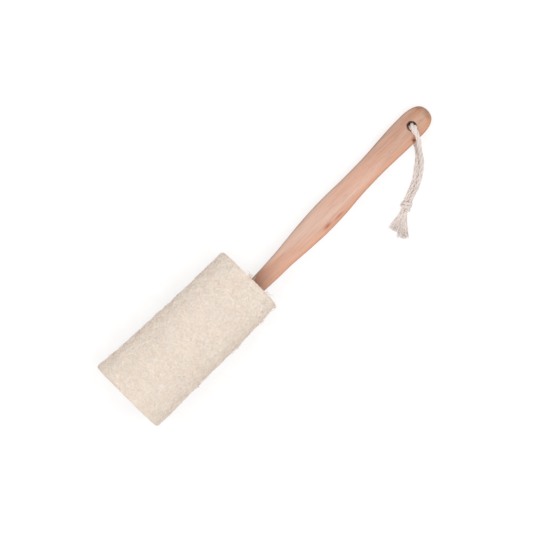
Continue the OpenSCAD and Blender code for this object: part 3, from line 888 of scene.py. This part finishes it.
def end_fibres(name, end, seed, flat_count, stub_count, r_lo, r_hi, mat):
    """Fibres in a cut face: some lie in it, and short cut ends stand out of it."""
    rng = np.random.default_rng(seed)
    sgn = 1.0 if end else -1.0
    x0 = X1 if end else 0.0
    parts = []
    N = 7
    t = np.linspace(-0.5, 0.5, N)
    r = np.sqrt(rng.uniform(r_lo ** 2, r_hi ** 2, flat_count))
    ph = rng.uniform(0, 2 * np.pi, flat_count)
    y0, z0 = r * np.cos(ph), r * np.sin(ph)
    L = rng.uniform(4, 11, flat_count)
    ang = rng.uniform(0, np.pi, flat_count)
    curve = rng.normal(0, 0.12, flat_count)
    d = ang[:, None] + curve[:, None] * t[None, :] * L[:, None]
    step = (L / (N - 1))[:, None]
    yy = y0[:, None] + np.cumsum(np.cos(d) * step, 1) - L[:, None] / 2 * np.cos(ang)[:, None]
    zz = z0[:, None] + np.cumsum(np.sin(d) * step, 1) - L[:, None] / 2 * np.sin(ang)[:, None]
    rr = np.hypot(yy, zz)
    lim = r_hi + 0.2 - (np.maximum(hollow(x0, np.arctan2(zz, yy)), 0) if r_hi > 33 else 0)
    k = np.where(rr > lim, lim / rr, 1.0)
    yy, zz = yy * k, zz * k
    xx = x0 + sgn * (rng.uniform(-1.5, 0.0, flat_count)[:, None] + 0.2 * np.sin(rng.uniform(0, 6, flat_count)[:, None] + 7 * t[None, :]))
    open_ = ~in_channel(yy, zz, -0.5).any(1)       # the seed channels stay open
    xx, yy, zz = xx[open_], yy[open_], zz[open_]
    flat_count = int(open_.sum())
    P = rest_on_floor(skewed(on_axis(xx, yy, zz)), 0.3)
    rad = rng.uniform(0.14, 0.3, flat_count)[:, None] * (1 - 0.7 * (2 * np.abs(t)[None, :]) ** 4)
    V, G = tube_arrays(P, rad, 4, ref=np.tile([1.0, 0, 0], (flat_count, 1)))
    parts.append((V, G, np.repeat(np.repeat(rng.uniform(0.1, 0.9, (flat_count, 1)), N, 1).ravel(), 4)))
    # painted shade on the outer ring of the cut face
    side_shades = [np.repeat(((np.hypot(yy, zz) > 33) * 0.5).ravel(), 4)]
    # cut ends
    r = np.sqrt(rng.uniform(r_lo ** 2, (r_hi - 0.4) ** 2, stub_count))
    ph = rng.uniform(0, 2 * np.pi, stub_count)
    if r_hi > 33:
        r = np.minimum(r, r_hi - 0.4 - np.maximum(hollow(x0, ph), 0) - rng.uniform(0, 0.6, stub_count))
    y0, z0 = r * np.cos(ph), r * np.sin(ph)
    keep = ~in_channel(y0, z0, 0.2)
    y0, z0 = y0[keep], z0[keep]
    n = len(y0)
    t = np.linspace(0, 1, 5)
    lean_y, lean_z = rng.normal(0, 0.5, n), rng.normal(0, 0.5, n)
    out = rng.uniform(-0.5, 0.5, n)
    xx = x0 + sgn * (-1.5 + (1.5 + out)[:, None] * t[None, :])
    yy = y0[:, None] + lean_y[:, None] * t[None, :] ** 2 * 1.6
    zz = z0[:, None] + lean_z[:, None] * t[None, :] ** 2 * 1.6
    P = rest_on_floor(skewed(on_axis(xx, yy, zz)), 0.3)
    rad = rng.uniform(0.13, 0.27, n)[:, None] * np.array([1, 1, 1, 0.9, 0.7])[None, :]
    V, G = tube_arrays(P, rad, 4, ref=np.tile([0.0, 0.6, 0.8], (n, 1)))
    parts.append((V, G, np.repeat(np.repeat(rng.uniform(0.3, 1.0, (n, 1)), 5, 1).ravel(), 4)))
    side_shades.append(np.repeat(((np.hypot(yy, zz) > 33) * 0.5).ravel(), 4))
    V, G, tint = joined(parts)
    V[:, 2] = np.maximum(V[:, 2], 0.05)
    return build(name, V, G, mat, {"tint": tint, "side_shade": np.concatenate(side_shades)})


def channel_fibres(name, seed, per_end):
    """Fibres that line the seed channels for the depth that can be seen from the cut ends."""
    rng = np.random.default_rng(seed)
    parts = []
    N = 7
    t = np.linspace(-0.5, 0.5, N)
    for ci, (cy, cz) in enumerate(CHANNELS):
        for end in (0, 1):
            n = per_end
            dist = rng.uniform(0.3, 42, n)
            L = rng.uniform(6, 16, n)
            ang = rng.normal(0, 0.6, n)
            phi = rng.uniform(0, 2 * np.pi, n)
            x = dist[:, None] + L[:, None] * t[None, :] * np.cos(ang)[:, None]
            x = np.clip(x, 0.1, 60)
            lx = LOOF_L - x if end else x
            p = phi[:, None] + L[:, None] * t[None, :] * np.sin(ang)[:, None] / 10.0
            r = CH_D / 2 + rng.uniform(-0.9 if ci else -0.2, 0.2, n)[:, None] + 0.25 * np.sin(8 * t[None, :] + phi[:, None])
            P = skewed(on_axis(lx, cy + r * np.cos(p), cz + r * np.sin(p)))
            rad = rng.uniform(0.14, 0.28, n)[:, None] * (1 - 0.7 * (2 * np.abs(t)[None, :]) ** 4)
            ref = np.stack([0 * phi, np.cos(phi), np.sin(phi)], -1)
            V, G = tube_arrays(P, rad, 4, ref=ref)
            parts.append((V, G, np.repeat(np.repeat(rng.uniform(0.0, 0.8, (n, 1)), N, 1).ravel(), 4)))
    V, G, tint = joined(parts)
    return build(name, V, G, CORE_FIBRE, {"tint": tint})


def tufts(name):
    """Small tangles of fibre that stand off the outline."""
    rng = np.random.default_rng(77)
    N = 9
    t = np.linspace(0, 1, N)
    spots = [(-36.9, -1, 13, 3.6), (-39.5, -1, 9, 2.6), (-55.9, -1, 14, 3.4), (-59, -1, 8, 2.4), (-91.5, -1, 14, 3.3), (-95, -1, 9, 2.4),
             (-128, -1, 7, 2.0), (-143.8, -1, 11, 2.8), (-75, -1, 7, 1.9), (-110, -1, 7, 2.0), (-165, -1, 7, 1.8),
             (-60, 1, 6, 1.7), (-98, 1, 9, 2.2), (-121, 1, 7, 1.9), (-150, 1, 7, 1.9), (-181, 1, 8, 2.2), (-197, 1, 6, 1.8)]
    P, tint = [], []
    for x, s, count, reach in spots:
        base = x - FAR_X
        for k in range(count):
            lx = np.clip(base + rng.normal(0, 1.3) + math.tan(SKEW) * s * 36, 0.6, X1 - 0.6)
            phi = (np.pi if s < 0 else 0.0) + s * rng.uniform(-0.25, 0.35) * -1
            L = reach * rng.uniform(0.7, 1.35)
            go, bend = rng.normal(0, 0.9), rng.normal(0, 1.2)
            turn = rng.normal(0, 0.06)
            out = L * (np.sin(t * rng.uniform(1.6, 2.7)))
            xx = np.clip(lx + L * (go * t + bend * t ** 2) * 0.8, 0.2, X1)
            r = wall_radius(xx, phi) - 0.6 + out * 0.8
            pp = phi + turn * t * L / 3
            P.append(on_axis(xx, r * np.cos(pp), r * np.sin(pp)))
            tint.append(np.full(N, rng.uniform(0.0, 0.7)))
    # by the handle, the cut end's long fibres stand up
    for k in range(20):
        y0 = rng.normal(3.2, 1.9) if k < 13 else rng.normal(-21, 2.0)
        z0 = rng.uniform(24, 33) * (1 if k < 13 else 0.82)
        L = rng.uniform(2.0, 5.2) * (1.0 if k < 13 else 0.7)
        side, lift = rng.normal(0, 0.9), rng.normal(0, 0.7)
        P.append(on_axis(X1 - 1.0 + (L + 0.8) * np.sin(t * rng.uniform(1.4, 2.3)), y0 + side * t ** 2 * L * 0.6 + 0.5 * np.sin(5 * t + k) * t,
                         z0 + lift * t * 2.0))
        tint.append(np.full(N, rng.uniform(0.0, 0.6)))
    P = rest_on_floor(skewed(np.array(P)), 0.3)
    n = len(P)
    rad = rng.uniform(0.14, 0.22, n)[:, None] * (1 - 0.55 * t[None, :] ** 3)
    V, G = tube_arrays(P, rad, 5, ref=np.tile([0.57, 0.57, 0.59], (n, 1)))
    # the tufts carry painted shade
    return build(name, V, G, WALL_FIBRE, {"tint": np.repeat(np.concatenate(tint), 5), "side_shade": np.full(len(V), 0.9)})


wall_pieces = [wall_bed()]
for i in range(6):
    k = 0.6 * i
    wall_pieces.append(surface_fibres("loofah_wall_fibres_%d" % (i + 1), 3460, 100 + i, (-0.5 + 0.18 * k, 0.1 + 0.2 * k),
                                      (0.12, 0.25), (5, 15), wild=(0.0, 0.0, 0.0, 0.02, 0.04, 0.06)[i]))
wall_pieces.append(tufts("loofah_tufts"))
wall_pieces.append(end_fibres("loofah_free_end_rim", 0, 201, 2300, 2100, 28.6, 38.6, WALL_FIBRE))
wall_pieces.append(end_fibres("loofah_handle_end_rim", 1, 202, 1900, 1800, 28.6, 35.6, WALL_FIBRE))
core_pieces = [core_bed()]
core_pieces.append(end_fibres("loofah_core_free_end", 0, 203, 2300, 2300, 0.5, 32.5, CORE_FIBRE))
core_pieces.append(end_fibres("loofah_core_handle_end", 1, 204, 2300, 2300, 0.5, 32.5, CORE_FIBRE))
core_pieces.append(channel_fibres("loofah_seed_channels", 205, 420))
for piece in wall_pieces:
    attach(piece, "scrubber")
    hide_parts("loofah_wall")
for piece in core_pieces:
    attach(piece, "scrubber")
    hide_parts("loofah_core")

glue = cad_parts["tang_adhesive"]
for s in glue.material_slots:
    s.material = GLUE

# ------------------------------------------------------------------ floor, light
floor_me = bpy.data.meshes.new("floor")
floor_me.from_pydata([(-8, -8, 0), (8, -8, 0), (8, 8, 0), (-8, 8, 0)], [], [(0, 1, 2, 3)])
floor = bpy.data.objects.new("floor", floor_me)
scene.collection.objects.link(floor)
fm, fnt, fp = new_mat("floor_paper")
fn = noise(fnt, mapped(fnt, (1, 1, 1)), 40.0, 2.0, 0.5)
fnt.links.new(ramp(fnt, fn, [(0.3, (0.31, 0.31, 0.31, 1)), (0.7, (0.34, 0.34, 0.34, 1))]), fp.inputs["Base Color"])
fp.inputs["Roughness"].default_value = 0.9
fp.inputs["Specular IOR Level"].default_value = 0.1
fp.inputs["Emission Color"].default_value = (1, 1, 1, 1)
fp.inputs["Emission Strength"].default_value = 0.66
floor_me.materials.append(fm)

world = bpy.data.worlds.new("world")
scene.world = world
world.use_nodes = True
bg = world.node_tree.nodes["Background"]
bg.inputs[0].default_value = (1.0, 1.0, 1.0, 1.0)
bg.inputs[1].default_value = 0.8


def area_light(name, place, target, size, power, colour=(1, 1, 1)):
    d = bpy.data.lights.new(name, "AREA")
    d.shape, d.size, d.energy, d.color = "DISK", size, power, colour
    o = bpy.data.objects.new(name, d)
    scene.collection.objects.link(o)
    o.location = place
    o.rotation_euler = (Vector(target) - Vector(place)).to_track_quat("-Z", "Y").to_euler()
    return o


area_light("key", (0.2, -0.4, 1.6), (0, 0, 0.03), 1.1, 10.0, (1.0, 0.985, 0.965))
area_light("fill", (-0.45, 0.4, 1.5), (0, 0, 0.03), 1.4, 5.5, (0.985, 0.99, 1.0))

scene.view_settings.view_transform = "Standard"
scene.view_settings.look = "None"
scene.view_settings.exposure = 0.0
scene.view_settings.gamma = 1.0
